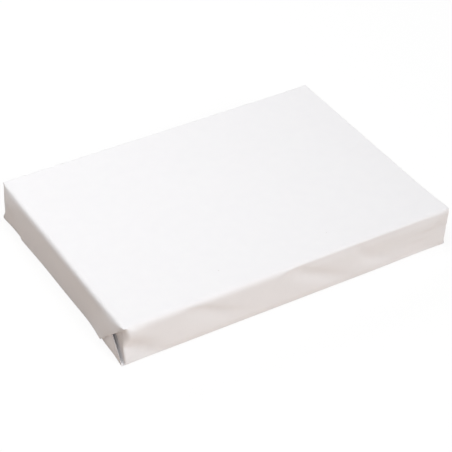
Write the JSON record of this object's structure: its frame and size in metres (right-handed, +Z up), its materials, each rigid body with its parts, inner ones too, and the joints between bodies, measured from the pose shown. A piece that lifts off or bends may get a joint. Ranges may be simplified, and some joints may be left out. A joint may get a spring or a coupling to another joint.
{
  "type": "ream of paper",
  "caption": "Sealed ream of paper in a plain white wrapper, a flat oblong pack with its ends folded shut, resting on its largest face.",
  "frame": {"origin": "centre of the underside, on the surface that the pack rests on", "axes": "+X along the length of the sheets, +Z up through the stack, -Y towards the long side with the hollows"},
  "size_m": [0.4252, 0.2978, 0.0513],
  "materials": {
    "wrapper": "smooth white wrapping paper with a low sheen"
  },
  "bodies": {
    "root": {"wrapped_ream": "wrapper"}
  },
  "joints": []
}
